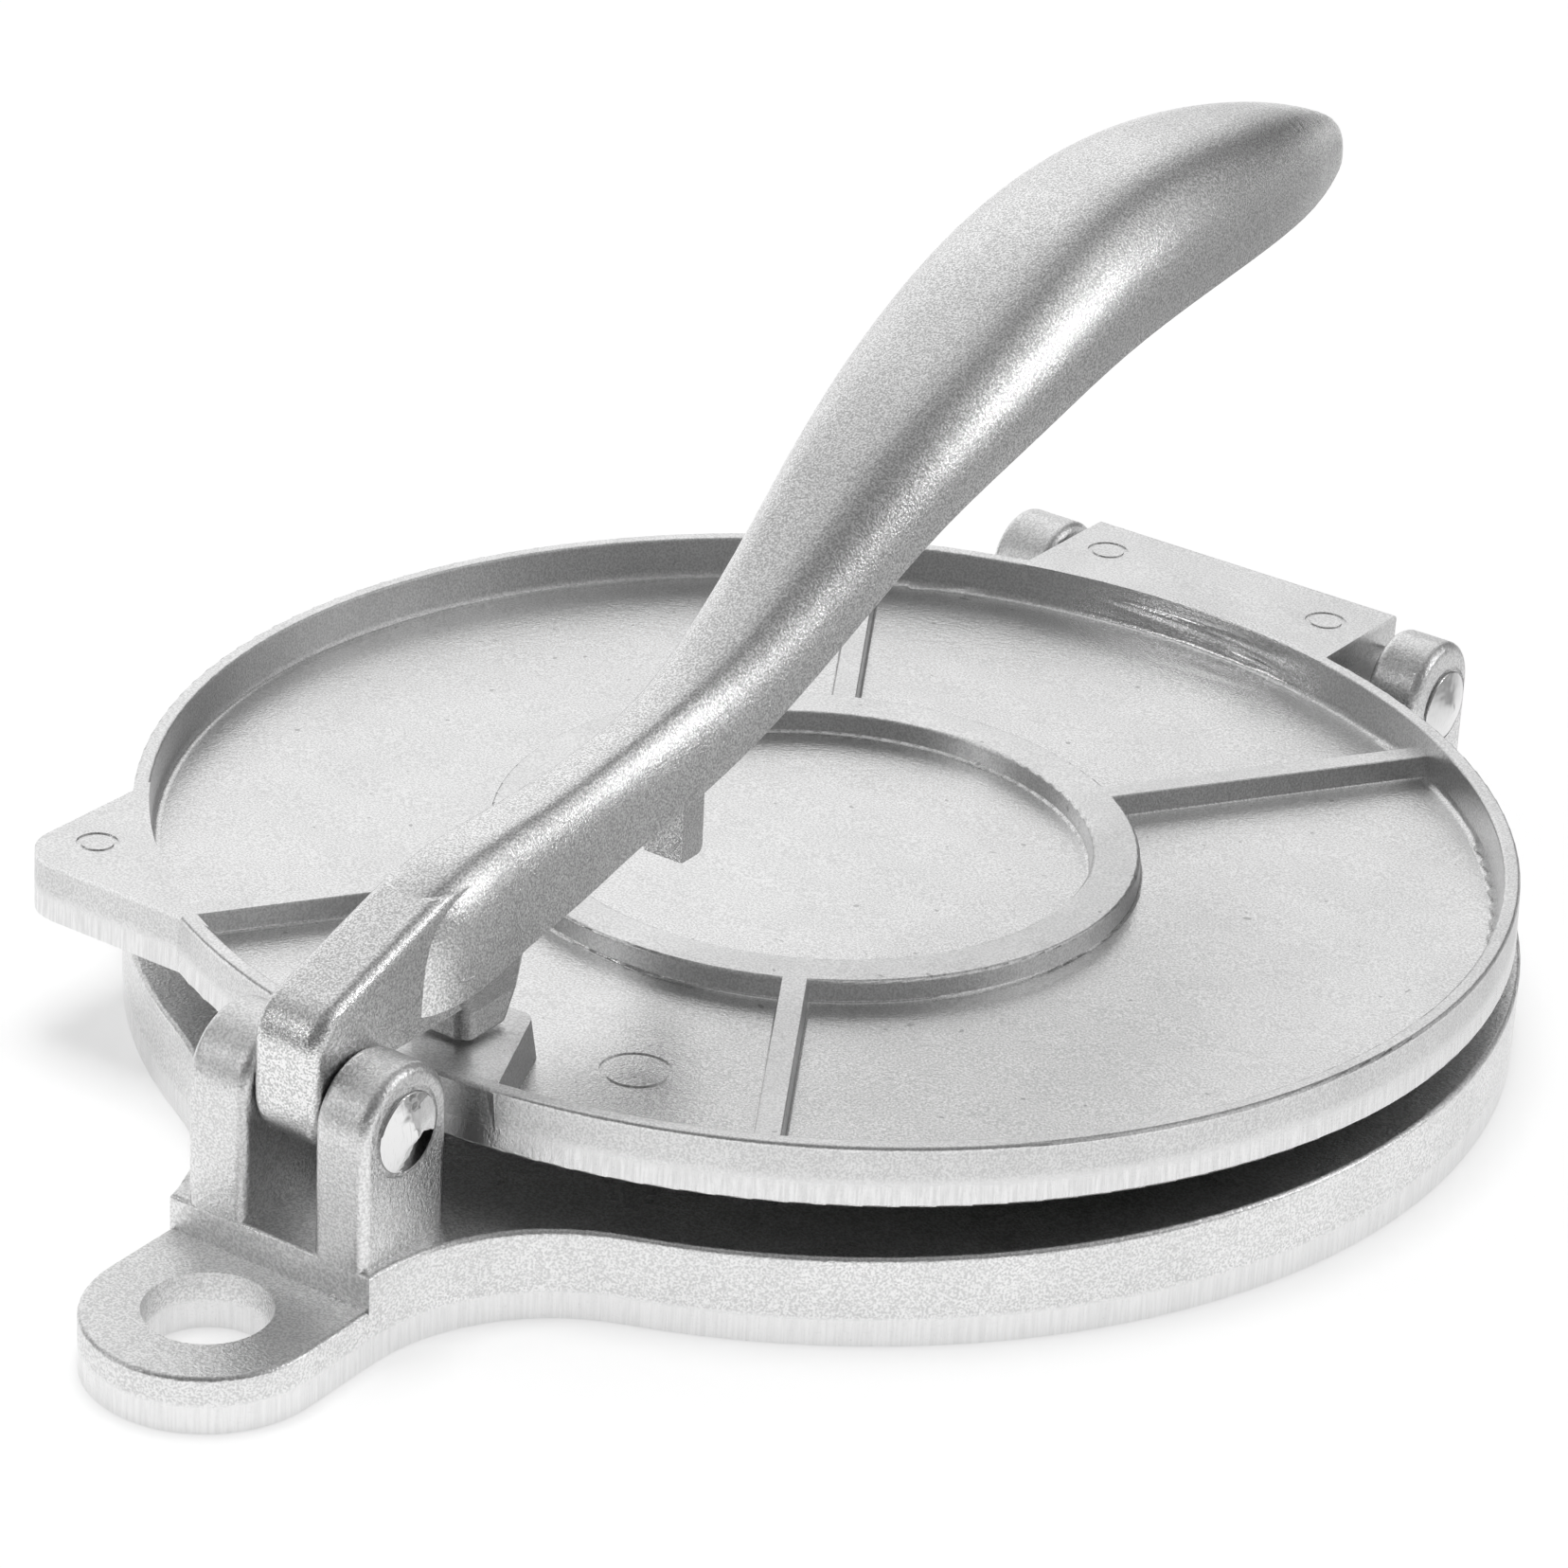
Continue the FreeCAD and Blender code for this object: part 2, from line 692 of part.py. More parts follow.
def main():
    os.makedirs("parts", exist_ok=True)
    shapes = {
        "base_plate": base_casting(),
        "top_plate": top_plate(),
        "lever": lever(),
    }
    pins = (("lever_pin", ear_outer_left, ear_outer_right, pivot_y, pivot_height),
            ("hinge_pin", hinge_outer_left, hinge_outer_right, hinge_y, hinge_height))
    for name, left, right, y, z in pins:
        shapes[name] = pin(left, right, y, z)
        shapes[name + "_cap_right"] = cap(right, y, z)
        shapes[name + "_cap_left"] = mirrored(cap(left, y, z))
        shapes[name + "_washer_right"] = toothed_washer(right, y, z)
        shapes[name + "_washer_left"] = mirrored(toothed_washer(left, y, z))
    for name, shape in shapes.items():
        shape.exportStep("parts/" + name + ".step")
        print(name, len(shape.Solids), shape.isValid(), round(shape.Volume), shape.BoundBox)


main()
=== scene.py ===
import math
from collections import namedtuple

import bpy
from mathutils import Matrix, Vector


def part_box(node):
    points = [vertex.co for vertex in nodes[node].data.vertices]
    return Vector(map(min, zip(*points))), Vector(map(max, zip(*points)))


# The looks of a cast aluminium tortilla press, in metres, in the CAD frame:
# +Z up, the lever pivot at -Y, the plate hinge at +Y.

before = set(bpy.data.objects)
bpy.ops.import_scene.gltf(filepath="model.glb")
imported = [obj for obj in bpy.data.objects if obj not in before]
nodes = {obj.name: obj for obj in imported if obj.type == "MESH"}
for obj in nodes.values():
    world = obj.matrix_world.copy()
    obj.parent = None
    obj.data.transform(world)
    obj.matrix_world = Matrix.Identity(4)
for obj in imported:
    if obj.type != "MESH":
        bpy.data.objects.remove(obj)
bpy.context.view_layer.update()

MM = 0.001

# Camera at the photograph's place, looking over the lever's right side
camera_place = Vector((414.4, -628.7, 412.7)) * MM
camera_azimuth_deg = 33.87
camera_elevation_deg = 26.91
camera_roll_deg = 2.82
camera_sensor_mm = 36.0
camera_lens_mm = 136.3

# Sizes and levels of the castings, the top plate's before it is tipped open
base_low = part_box("base_plate")[0]
press_radius = 100.0 * MM
plate_low = 15.3 * MM
plate_high = plate_low + 8.7 * MM
tray_floor = plate_low + 2.4 * MM
rim_inner = press_radius - 3.7 * MM
hinge_y = press_radius + 10.0 * MM
opening_at_rest = math.radians(1.5)

# Small marks, where the photograph shows them
Mark = namedtuple("Mark", "place size")
# The neck pit has no depth: its dark spot is painted shade.
neck_pit_painted_shade = Mark(place=Vector((-8.6, -126.0, 11.5)) * MM, size=Vector((0.9, 1.2, 0.9)) * MM)
rim_folds = Mark(place=Vector((6.0, 94.5, 20.5)) * MM, size=Vector((28.0, 8.0, 6.0)) * MM)
# The smudge is glossier, and the dark reflection in it is painted into its colour.
smudge_painted_reflection = Mark(place=Vector((21.5, -73.2, 19.5)) * MM, size=Vector((9.5, 5.5, 4.0)) * MM)
# The crack has no depth: its dark line is painted shade.
rib_crack_painted_shade = Mark(place=Vector((31.5, -55.7, 24.2)) * MM, size=Vector((2.6, 3.0, 1.5)) * MM)
crack_slope = 0.62
crack_wave = 1.8 * MM
crack_wander = 0.3 * MM
crack_width = 0.22 * MM


def add_camera():
    data = bpy.data.cameras.new("photo_camera")
    data.sensor_width = camera_sensor_mm
    data.lens = camera_lens_mm
    camera = bpy.data.objects.new("photo_camera", data)
    bpy.context.scene.collection.objects.link(camera)
    azimuth = math.radians(camera_azimuth_deg)
    elevation = math.radians(camera_elevation_deg)
    back = Vector((math.sin(azimuth) * math.cos(elevation),
                   -math.cos(azimuth) * math.cos(elevation), math.sin(elevation)))
    level = (-back).to_track_quat("-Z", "Y").to_matrix()
    roll = Matrix.Rotation(math.radians(camera_roll_deg), 3, "Z")
    camera.matrix_world = Matrix.Translation(camera_place) @ (level @ roll).to_4x4()
    bpy.context.scene.camera = camera


# Node helpers

# A mark is full out to this share of its size
mark_core = 0.35


def new_tree(owner):
    owner.use_nodes = True
    owner.node_tree.nodes.clear()
    return owner.node_tree


def add_node(tree, kind, **settings):
    node = tree.nodes.new(kind)
    for name, value in settings.items():
        setattr(node, name, value)
    return node


def feed(tree, socket, value):
    """Sets a socket to a number, or links another socket to it."""
    if isinstance(value, (int, float)):
        socket.default_value = value
    else:
        tree.links.new(value, socket)


def math_node(tree, operation, first, second=None, clamp=False):
    node = add_node(tree, "ShaderNodeMath", operation=operation, use_clamp=clamp)
    feed(tree, node.inputs[0], first)
    if second is not None:
        feed(tree, node.inputs[1], second)
    return node.outputs[0]


def total(tree, first, second):
    return math_node(tree, "ADD", first, second)


def difference(tree, first, second):
    return math_node(tree, "SUBTRACT", first, second)


def product(tree, first, second):
    return math_node(tree, "MULTIPLY", first, second)


def inverse(tree, share):
    return difference(tree, 1.0, share)


def smooth_step(tree, value, low, high):
    node = add_node(tree, "ShaderNodeMapRange", interpolation_type="SMOOTHSTEP", clamp=True)
    feed(tree, node.inputs["Value"], value)
    node.inputs["From Min"].default_value = low
    node.inputs["From Max"].default_value = high
    return node.outputs["Result"]


def ramp(tree, share, low, high):
    """Goes from low to high, which may be sockets, as the share goes from nought to one."""
    node = add_node(tree, "ShaderNodeMapRange", clamp=True)
    feed(tree, node.inputs["Value"], share)
    feed(tree, node.inputs["To Min"], low)
    feed(tree, node.inputs["To Max"], high)
    return node.outputs["Result"]


def band(tree, value, low, high, soft):
    """One between two levels, fading to nought over the soft width outside them."""
    up = smooth_step(tree, value, low - soft, low)
    down = smooth_step(tree, value, high, high + soft)
    return math_node(tree, "SUBTRACT", up, down, clamp=True)


def noise(tree, vector, size, detail=2.0, roughness=0.5, distortion=0.0):
    node = add_node(tree, "ShaderNodeTexNoise")
    tree.links.new(vector, node.inputs["Vector"])
    if isinstance(size, (int, float)):
        node.inputs["Scale"].default_value = 1 / size
    else:
        tree.links.new(math_node(tree, "DIVIDE", 1.0, size), node.inputs["Scale"])
    node.inputs["Detail"].default_value = detail
    node.inputs["Roughness"].default_value = roughness
    node.inputs["Distortion"].default_value = distortion
    return node.outputs["Fac"]


def stretched(tree, vector, scale):
    node = add_node(tree, "ShaderNodeVectorMath", operation="MULTIPLY")
    tree.links.new(vector, node.inputs[0])
    node.inputs[1].default_value = scale
    return node.outputs["Vector"]


def length_of(tree, vector):
    node = add_node(tree, "ShaderNodeVectorMath", operation="LENGTH")
    tree.links.new(vector, node.inputs[0])
    return node.outputs["Value"]


def near(tree, vector, mark):
    """One at a mark's place, fading to nought at its size along each axis."""
    offset = add_node(tree, "ShaderNodeVectorMath", operation="SUBTRACT")
    tree.links.new(vector, offset.inputs[0])
    offset.inputs[1].default_value = mark.place
    scaled = stretched(tree, offset.outputs["Vector"], [1 / length for length in mark.size])
    return inverse(tree, smooth_step(tree, length_of(tree, scaled), mark_core, 1.0))


# The set: floor, world, a tent and a floor sheet that only reflections see, and the lamps

floor_half_size = 6.0
floor_shade = 0.82
floor_lift = 0.38
world_for_diffuse = 0.55

tent_radius = 2.6
tent_shade = 0.19
# A panel is round: it fades in between two cosines of the angle from its middle
Panel = namedtuple("Panel", "towards fades_from full_from light")
tent_panels = [
    Panel(towards=(-0.58, 0.66, 0.47), fades_from=0.80, full_from=0.97, light=0.78),
    Panel(towards=(-0.50, 0.22, 0.84), fades_from=0.80, full_from=0.96, light=0.38),
    Panel(towards=(0.10, 0.00, 1.00), fades_from=0.60, full_from=1.00, light=0.10),
    Panel(towards=(0.68, 0.52, 0.52), fades_from=0.80, full_from=0.95, light=0.44),
    Panel(towards=(-0.60, -0.45, 0.66), fades_from=0.80, full_from=0.96, light=0.18),
    Panel(towards=(-0.90, 0.42, 0.05), fades_from=0.80, full_from=0.95, light=0.75),
]

sheet_place = (0.62, 0.55, 0.0015)
sheet_size = 1.5
sheet_shade = 0.36
# The sheet is round and fades out, in shares of its size
sheet_full_to = 0.4
sheet_fades_to = 0.5

lamps_look_at = Vector((0, 0, 0.03))


def stage_material(name):
    """A new material for the set, its tree and the socket that its shader goes to."""
    material = bpy.data.materials.new(name)
    tree = new_tree(material)
    output = add_node(tree, "ShaderNodeOutputMaterial")
    return material, tree, output.inputs["Surface"]


def glow_shader(tree, strength):
    glow = add_node(tree, "ShaderNodeEmission")
    feed(tree, glow.inputs["Strength"], strength)
    return glow.outputs[0]


def seen_directly(tree):
    """One for camera, glossy and transmission rays, nought for the rays that light things."""
    path = add_node(tree, "ShaderNodeLightPath")
    either = math_node(tree, "MAXIMUM", path.outputs["Is Camera Ray"], path.outputs["Is Glossy Ray"])
    return math_node(tree, "MAXIMUM", either, path.outputs["Is Transmission Ray"])


def add_plane(name, size, place):
    bpy.ops.object.select_all(action="DESELECT")
    bpy.ops.mesh.primitive_plane_add(size=size, location=place)
    plane = bpy.context.object
    plane.name = name
    return plane


def add_floor():
    """A pale floor under the base, which takes shadows and is lifted to white where it is seen."""
    floor = add_plane("floor", size=2 * floor_half_size, place=(0, 0, base_low.z))
    material, tree, surface = stage_material("pale_floor")
    matt = add_node(tree, "ShaderNodeBsdfDiffuse")
    matt.inputs["Color"].default_value = (floor_shade, floor_shade, floor_shade, 1)
    both = add_node(tree, "ShaderNodeAddShader")
    tree.links.new(matt.outputs[0], both.inputs[0])
    tree.links.new(glow_shader(tree, product(tree, seen_directly(tree), floor_lift)), both.inputs[1])
    tree.links.new(both.outputs[0], surface)
    floor.data.materials.append(material)


def add_world():
    """White where it is seen or mirrored, and a plain grey light for everything else."""
    world = bpy.data.worlds.new("studio")
    bpy.context.scene.world = world
    tree = new_tree(world)
    output = add_node(tree, "ShaderNodeOutputWorld")
    background = add_node(tree, "ShaderNodeBackground")
    feed(tree, background.inputs["Strength"], ramp(tree, seen_directly(tree), world_for_diffuse, 1.0))
    tree.links.new(background.outputs[0], output.inputs["Surface"])


def only_for_reflections(prop):
    for kind in ("visible_camera", "visible_diffuse", "visible_transmission", "visible_shadow"):
        setattr(prop, kind, False)


def add_tent():
    """A grey tent round the set with bright panels, which only reflections see."""
    bpy.ops.object.select_all(action="DESELECT")
    bpy.ops.mesh.primitive_uv_sphere_add(segments=48, ring_count=24, radius=tent_radius)
    tent = bpy.context.object
    tent.name = "tent"
    material, tree, surface = stage_material("tent_cloth")
    direction = add_node(tree, "ShaderNodeVectorMath", operation="NORMALIZE")
    tree.links.new(add_node(tree, "ShaderNodeTexCoord").outputs["Object"], direction.inputs[0])
    light = tent_shade
    for panel in tent_panels:
        lean = add_node(tree, "ShaderNodeVectorMath", operation="DOT_PRODUCT")
        tree.links.new(direction.outputs["Vector"], lean.inputs[0])
        lean.inputs[1].default_value = Vector(panel.towards).normalized()
        cover = smooth_step(tree, lean.outputs["Value"], panel.fades_from, panel.full_from)
        light = total(tree, product(tree, cover, panel.light), light)
    tree.links.new(glow_shader(tree, math_node(tree, "MINIMUM", light, 1.0)), surface)
    tent.data.materials.append(material)
    only_for_reflections(tent)


def add_floor_sheet():
    """A round grey sheet on the floor to the back right, which darkens the lever's flank."""
    sheet = add_plane("floor_sheet", size=1, place=sheet_place)
    sheet.scale = (sheet_size, sheet_size, 1)
    material, tree, surface = stage_material("floor_sheet")
    from_middle = length_of(tree, add_node(tree, "ShaderNodeTexCoord").outputs["Object"])
    cover = smooth_step(tree, from_middle, sheet_fades_to, sheet_full_to)
    clear = add_node(tree, "ShaderNodeBsdfTransparent")
    mix = add_node(tree, "ShaderNodeMixShader")
    tree.links.new(cover, mix.inputs[0])
    tree.links.new(clear.outputs[0], mix.inputs[1])
    tree.links.new(glow_shader(tree, sheet_shade), mix.inputs[2])
    tree.links.new(mix.outputs[0], surface)
    sheet.data.materials.append(material)
    only_for_reflections(sheet)


def add_softbox(name, place, size, power):
    """A rectangular lamp that looks at the press."""
    data = bpy.data.lights.new(name, "AREA")
    data.shape = "RECTANGLE"
    data.size, data.size_y = size
    data.energy = power
    lamp = bpy.data.objects.new(name, data)
    bpy.context.scene.collection.objects.link(lamp)
    lamp.location = place
    lamp.rotation_euler = (lamps_look_at - Vector(place)).to_track_quat("-Z", "Y").to_euler()
    return lamp


def light_only(lamp, pieces):
    """Lets a lamp light no more than the pieces named."""
    receivers = bpy.data.collections.new(lamp.name + "_receivers")
    for piece in pieces:
        receivers.objects.link(nodes[piece])
    lamp.light_linking.receiver_collection = receivers


def add_lamps():
    """One lamp for the floor and three for the glints on the lever."""
    floor_lamp = add_softbox("floor_softbox", place=(-0.1, 0.0, 2.0), size=(0.9, 0.9), power=15.0)
    floor_lamp.visible_glossy = False
    add_softbox("nose_glint", place=(-0.83, -1.05, 0.69), size=(0.20, 0.25), power=0.8)
    streak_lamps = [
        add_softbox("handle_streak", place=(1.26, 0.72, 0.50), size=(0.08, 0.30), power=2.0),
        add_softbox("arm_streak", place=(1.05, 0.70, 1.10), size=(0.10, 0.30), power=0.5),
    ]
    # The flat tray would mirror these two as a white sheet when seen from the left
    for lamp in streak_lamps:
        light_only(lamp, [node for node in nodes if node != "top_plate"])


# Shared surface effects


def new_group(name, inputs, outputs):
    """A shader group that takes a vector and the numbers named, with its inner ends."""
    group = bpy.data.node_groups.new(name, "ShaderNodeTree")
    group.interface.new_socket("Vector", in_out="INPUT", socket_type="NodeSocketVector")
    for socket_name, value in inputs:
        socket = group.interface.new_socket(socket_name, in_out="INPUT", socket_type="NodeSocketFloat")
        socket.default_value = value
    for socket_name in outputs:
        group.interface.new_socket(socket_name, in_out="OUTPUT", socket_type="NodeSocketFloat")
    inside = add_node(group, "NodeGroupInput")
    outside = add_node(group, "NodeGroupOutput")
    return group, inside.outputs, outside.inputs


grain_inputs = (("Grain Size", 0.45 * MM), ("Patch Size", 12.0 * MM))
coarse_to_fine_size = 2.6
coarse_to_fine_height = 0.5
sparkle_to_fine_size = 0.8


def cast_grain_group():
    """The pebbly skin of a blasted casting: its height, its sparkle and its duller patches."""
    group, given, wanted = new_group("cast_grain", grain_inputs, ("Height", "Sparkle", "Patches"))
    place, size = given["Vector"], given["Grain Size"]
    fine = noise(group, place, size, detail=3.0, roughness=0.65)
    coarse = noise(group, place, product(group, size, coarse_to_fine_size), detail=1.0)
    height = total(group, fine, product(group, coarse, coarse_to_fine_height))
    group.links.new(height, wanted["Height"])
    sparkle = noise(group, place, product(group, size, sparkle_to_fine_size), detail=1.0)
    group.links.new(smooth_step(group, sparkle, low=0.36, high=0.64), wanted["Sparkle"])
    patches = noise(group, place, given["Patch Size"], detail=3.0)
    group.links.new(smooth_step(group, patches, low=0.3, high=0.7), wanted["Patches"])
    return group


scratch_width = 0.5 * MM
scratch_stretch = (1, 1, 0.05)


def scratch_group():
    """Upright scratches left by the belt that trimmed the castings' lower edges."""
    group, given, wanted = new_group("belt_scratches", (), ("Scratches",))
    upright = stretched(group, given["Vector"], scratch_stretch)
    lines = noise(group, upright, scratch_width, detail=3.0, roughness=0.7)
    group.links.new(smooth_step(group, lines, low=0.35, high=0.65), wanted["Scratches"])
    return group


ripple_inputs = (("Ripple Size", 4.0 * MM),)
ripple_stretch = (0.12, 0.6, 1.5)


def flow_group():
    """Cold ripples along the rim, where the metal folded as it ran in."""
    group, given, wanted = new_group("flow_ripples", ripple_inputs, ("Ripples",))
    along_rim = stretched(group, given["Vector"], ripple_stretch)
    ripples = noise(group, along_rim, given["Ripple Size"], detail=1.0, distortion=0.8)
    group.links.new(ripples, wanted["Ripples"])
    return group


cast_grain = cast_grain_group()
belt_scratches = scratch_group()
flow_ripples = flow_group()


class Surface:
    """One metal under way: its tree, the place on the piece, and its finish so far."""

    def __init__(self, name, shade, roughness):
        self.material = bpy.data.materials.new(name)
        self.tree = new_tree(self.material)
        output = add_node(self.tree, "ShaderNodeOutputMaterial")
        self.shader = add_node(self.tree, "ShaderNodeBsdfPrincipled")
        self.shader.inputs["Metallic"].default_value = 1.0
        self.tree.links.new(self.shader.outputs[0], output.inputs["Surface"])
        self.place = add_node(self.tree, "ShaderNodeTexCoord").outputs["Object"]
        self.shade = shade
        self.roughness = roughness
        self.height = None

    def axes(self):
        """The place on the piece as its x, y and z."""
        split = add_node(self.tree, "ShaderNodeSeparateXYZ")
        self.tree.links.new(self.place, split.inputs[0])
        return split.outputs

    def group(self, group, **values):
        """Places a group, with its inputs named in the call by an underscore for each space."""
        node = add_node(self.tree, "ShaderNodeGroup", node_tree=group)
        self.tree.links.new(self.place, node.inputs["Vector"])
        for name, value in values.items():
            node.inputs[name.replace("_", " ")].default_value = value
        return node.outputs

    def shift(self, mask, shade=None, roughness=None):
        """Moves the shade and the roughness towards the values given, where the mask is."""
        if shade is not None:
            self.shade = ramp(self.tree, mask, self.shade, shade)
        if roughness is not None:
            self.roughness = ramp(self.tree, mask, self.roughness, roughness)

    def paint_shade(self, mask, share):
        """Paints shade: takes the colour down to a share of itself, with its grain, where the mask is.
        """
        self.shade = product(self.tree, self.shade, ramp(self.tree, mask, 1.0, share))

    def raise_by(self, height, depth):
        """Adds a height, whose full share stands for the depth in metres."""
        part = product(self.tree, height, depth)
        self.height = part if self.height is None else total(self.tree, self.height, part)

    def finish(self):
        """Links the shade, the roughness and the height to the shader."""
        grey = add_node(self.tree, "ShaderNodeCombineColor")
        for channel in ("Red", "Green", "Blue"):
            feed(self.tree, grey.inputs[channel], self.shade)
        self.tree.links.new(grey.outputs[0], self.shader.inputs["Base Color"])
        feed(self.tree, self.shader.inputs["Roughness"], self.roughness)
        if self.height is not None:
            bump = add_node(self.tree, "ShaderNodeBump")
            bump.inputs["Strength"].default_value = 1.0
            bump.inputs["Distance"].default_value = 1.0
            self.tree.links.new(self.height, bump.inputs["Height"])
            self.tree.links.new(bump.outputs[0], self.shader.inputs["Normal"])
        return self.material


# The finishes

dull_patch_share = 0.95
dull_patch_roughness = 0.04
hair_stretch = (1, 6, 0.4)
turned_stretch = (1, 0.15, 0.15)


def blasted(surface, grain_depth, grain_size, contrast):
    """Gives a casting its grain: height, bright and dark points and duller patches."""
    tree = surface.tree
    grain = surface.group(cast_grain, Grain_Size=grain_size)
    dull = ramp(tree, grain["Patches"], surface.shade * dull_patch_share, surface.shade)
    bright_points = product(tree, dull, 1 + contrast)
    dark_points = product(tree, dull, 1 - contrast)
    surface.shade = ramp(tree, grain["Sparkle"], dark_points, bright_points)
    rougher = surface.roughness + dull_patch_roughness
    surface.roughness = ramp(tree, grain["Patches"], rougher, surface.roughness)
    surface.raise_by(grain["Height"], grain_depth)


def base_cast():
    """The base: pebbly walls, belt scratches round the foot of its edge, and a dark spot of painted
    shade for a pit in the neck.
    """
    surface = Surface("base_cast", shade=0.79, roughness=0.27)
    blasted(surface, grain_depth=0.10 * MM, grain_size=0.42 * MM, contrast=0.16)
    scratches = surface.group(belt_scratches)["Scratches"]
    foot = band(surface.tree, surface.axes()["Z"], low=0.3 * MM, high=3.6 * MM, soft=1.0 * MM)
    scratched = product(surface.tree, foot, scratches)
    surface.shift(foot, shade=0.88, roughness=0.26)
    surface.shift(scratched, shade=0.80)
    # Painted shade: a dark, rough spot stands for the shade inside a pit in the neck.
    surface.shift(near(surface.tree, surface.place, neck_pit_painted_shade), shade=0.10, roughness=0.5)
    return surface.finish()


def level_in_plate(tree, y, z):
    """The height in the top plate as if it lay closed, though it is tipped open at rest."""
    from_hinge = difference(tree, hinge_y, y)
    return difference(tree, z, product(tree, from_hinge, math.tan(opening_at_rest)))


def distance_from_middle(tree, x, y):
    across = math_node(tree, "POWER", x, 2)
    along = math_node(tree, "POWER", y, 2)
    return math_node(tree, "SQRT", total(tree, across, along))


def satin_floor(surface, level, inside_rim):
    """Makes the tray's floor smoother than the rim and ribs, with clouds and dark specks."""
    tree = surface.tree
    above = smooth_step(tree, level, low=tray_floor + 0.2 * MM, high=tray_floor + 0.5 * MM)
    floor = product(tree, inside_rim, inverse(tree, above))
    surface.shift(floor, roughness=0.19)
    dots = noise(tree, surface.place, size=1.6 * MM, detail=0.0)
    specks = smooth_step(tree, dots, low=0.83, high=0.86)
    surface.shift(product(tree, specks, inside_rim), shade=0.5)
    haze = noise(tree, surface.place, size=30.0 * MM, detail=3.0)
    clouds = smooth_step(tree, haze, low=0.35, high=0.75)
    surface.shift(product(tree, floor, clouds), roughness=0.26)


def trimmed_wall(surface, level, reach):
    """Paints shade on the plate's outer wall below its top, and brightens and scratches its trimmed
    lower edge.
    """
    tree = surface.tree
    outer = smooth_step(tree, reach, low=press_radius - 2.2 * MM, high=press_radius - 1.6 * MM)
    edge = band(tree, level, low=plate_low, high=plate_low + 2.4 * MM, soft=2.4 * MM)
    trimmed = product(tree, outer, edge)
    near_top = smooth_step(tree, level, low=plate_high - 0.9 * MM, high=plate_high - 0.4 * MM)
    # Painted shade: the outer side wall is coloured darker than the plate's top, which has the same
    # finish.
    surface.paint_shade(product(tree, outer, inverse(tree, near_top)), share=0.86)
    scratches = surface.group(belt_scratches)["Scratches"]
    surface.shift(trimmed, shade=0.86, roughness=0.26)
    surface.shift(product(tree, trimmed, scratches), shade=0.72)


def folded_rim(surface):
    """Ripples the inside of the rim beside the hinge, and leaves the folds shiny."""
    folded = near(surface.tree, surface.place, rim_folds)
    ripples = surface.group(flow_ripples)["Ripples"]
    surface.raise_by(product(surface.tree, folded, ripples), depth=0.8 * MM)
    surface.shift(folded, roughness=0.12)


def crack_line(surface, x, y):
    """A hairline crack that wanders across the top of the front rib, drawn as a dark line of painted
    shade with no depth.
    """
    tree = surface.tree
    right = difference(tree, x, rib_crack_painted_shade.place.x)
    back = difference(tree, y, rib_crack_painted_shade.place.y)
    wave = math_node(tree, "SINE", product(tree, right, 2 * math.pi / crack_wave))
    straight = total(tree, back, product(tree, right, crack_slope))
    off_line = total(tree, straight, product(tree, wave, crack_wander))
    line = smooth_step(tree, math_node(tree, "ABSOLUTE", off_line), crack_width, crack_width / 2)
    return product(tree, line, near(tree, surface.place, rib_crack_painted_shade))


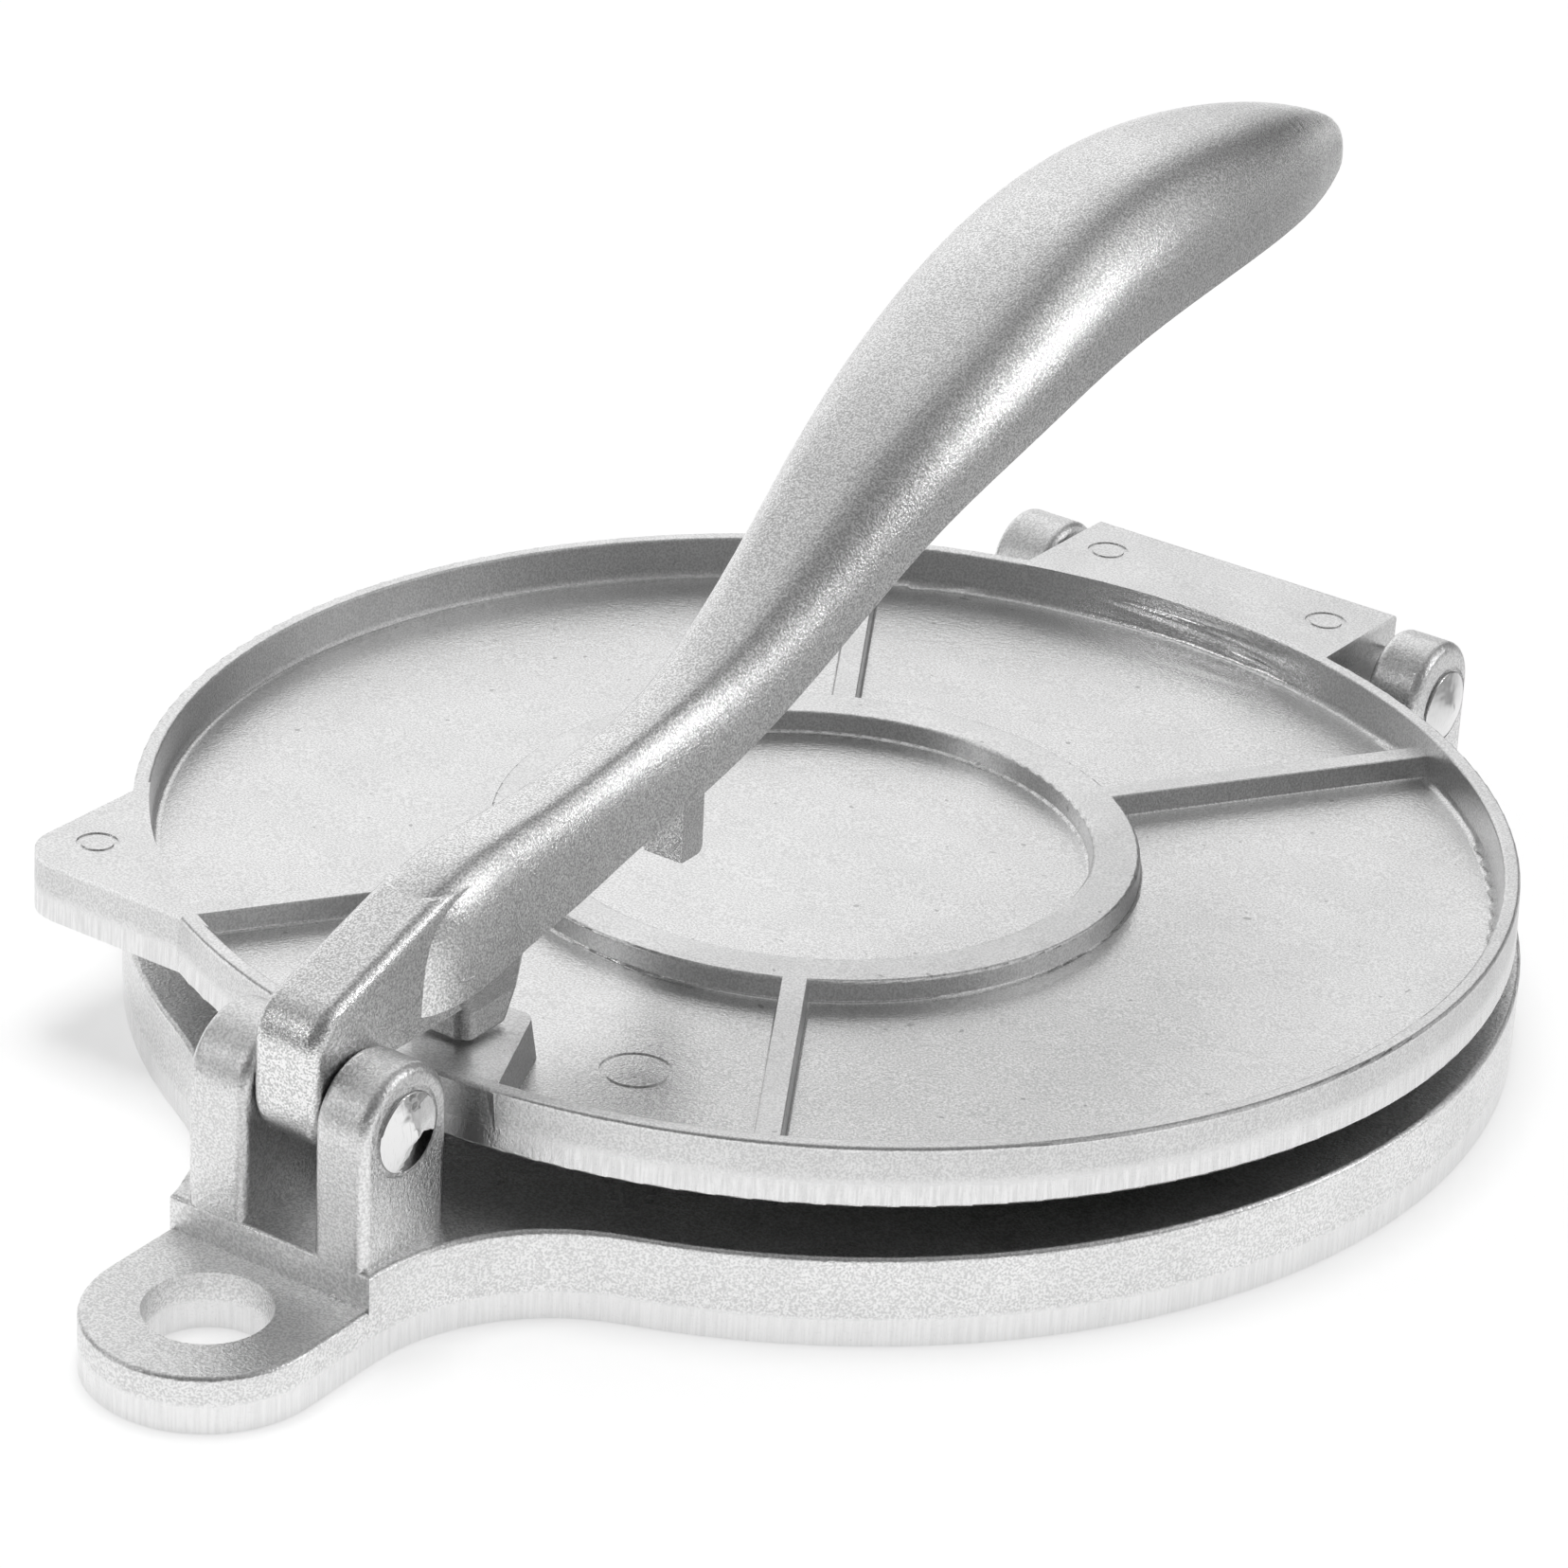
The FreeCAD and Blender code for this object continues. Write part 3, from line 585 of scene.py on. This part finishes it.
def top_cast():
    """The top plate: satin tray floor, blasted rim and ribs, trimmed lower edge, marks, with painted
    shade on its outer wall and its crack, and a painted reflection in its smudge.
    """
    surface = Surface("top_cast", shade=0.80, roughness=0.28)
    tree = surface.tree
    x, y, z = surface.axes()
    level = level_in_plate(tree, y, z)
    reach = distance_from_middle(tree, x, y)
    inside_rim = inverse(tree, smooth_step(tree, reach, low=rim_inner - 0.4 * MM, high=rim_inner))
    blasted(surface, grain_depth=0.06 * MM, grain_size=0.40 * MM, contrast=0.13)
    satin_floor(surface, level, inside_rim)
    trimmed_wall(surface, level, reach)
    folded_rim(surface)
    # A glossier smudge on the tray floor, whose dark colour is a painted reflection.
    surface.shift(near(tree, surface.place, smudge_painted_reflection), shade=0.42, roughness=0.14)
    # Painted shade: the dark line stands for the shade inside the crack.
    surface.shift(crack_line(surface, x, y), shade=0.25)
    return surface.finish()


def lever_cast():
    """The lever: smoother than the plates, with fine grain of strong contrast, so it glitters."""
    surface = Surface("lever_cast", shade=0.77, roughness=0.19)
    blasted(surface, grain_depth=0.08 * MM, grain_size=0.36 * MM, contrast=0.25)
    return surface.finish()


def cap_chrome():
    """The plated caps on the pins' ends, slightly uneven, with hairlines from handling."""
    surface = Surface("cap_chrome", shade=0.82, roughness=0.05)
    tree = surface.tree
    hairs = noise(tree, stretched(tree, surface.place, hair_stretch), size=1.2 * MM, detail=2.0)
    surface.shift(smooth_step(tree, hairs, low=0.60, high=0.66), shade=0.74, roughness=0.16)
    uneven = noise(tree, surface.place, size=2.2 * MM, detail=1.0)
    surface.raise_by(uneven, depth=0.12 * MM)
    return surface.finish()


def pin_steel():
    """Drawn steel of the pins and washers, turned lines round it and a little grey film."""
    surface = Surface("pin_steel", shade=0.52, roughness=0.30)
    tree = surface.tree
    turned = noise(tree, stretched(tree, surface.place, turned_stretch), size=0.3 * MM, detail=2.0)
    surface.raise_by(turned, depth=0.03 * MM)
    haze = noise(tree, surface.place, size=3.0 * MM, detail=3.0)
    film = smooth_step(tree, haze, low=0.4, high=0.7)
    surface.shift(film, shade=0.42, roughness=0.42)
    return surface.finish()


def dress(node, material):
    """Gives a CAD piece its material, in every slot that it has."""
    data = nodes[node].data
    if not data.materials:
        data.materials.append(material)
    for index in range(len(data.materials)):
        data.materials[index] = material


def main():
    add_camera()
    add_floor()
    add_world()
    add_tent()
    add_floor_sheet()
    add_lamps()
    bpy.context.scene.view_settings.view_transform = "Standard"
    dress("base_plate", base_cast())
    dress("top_plate", top_cast())
    dress("lever", lever_cast())
    chrome = cap_chrome()
    steel = pin_steel()
    for node in nodes:
        if "_cap_" in node:
            dress(node, chrome)
        elif "washer" in node or node.endswith("_pin"):
            dress(node, steel)


main()
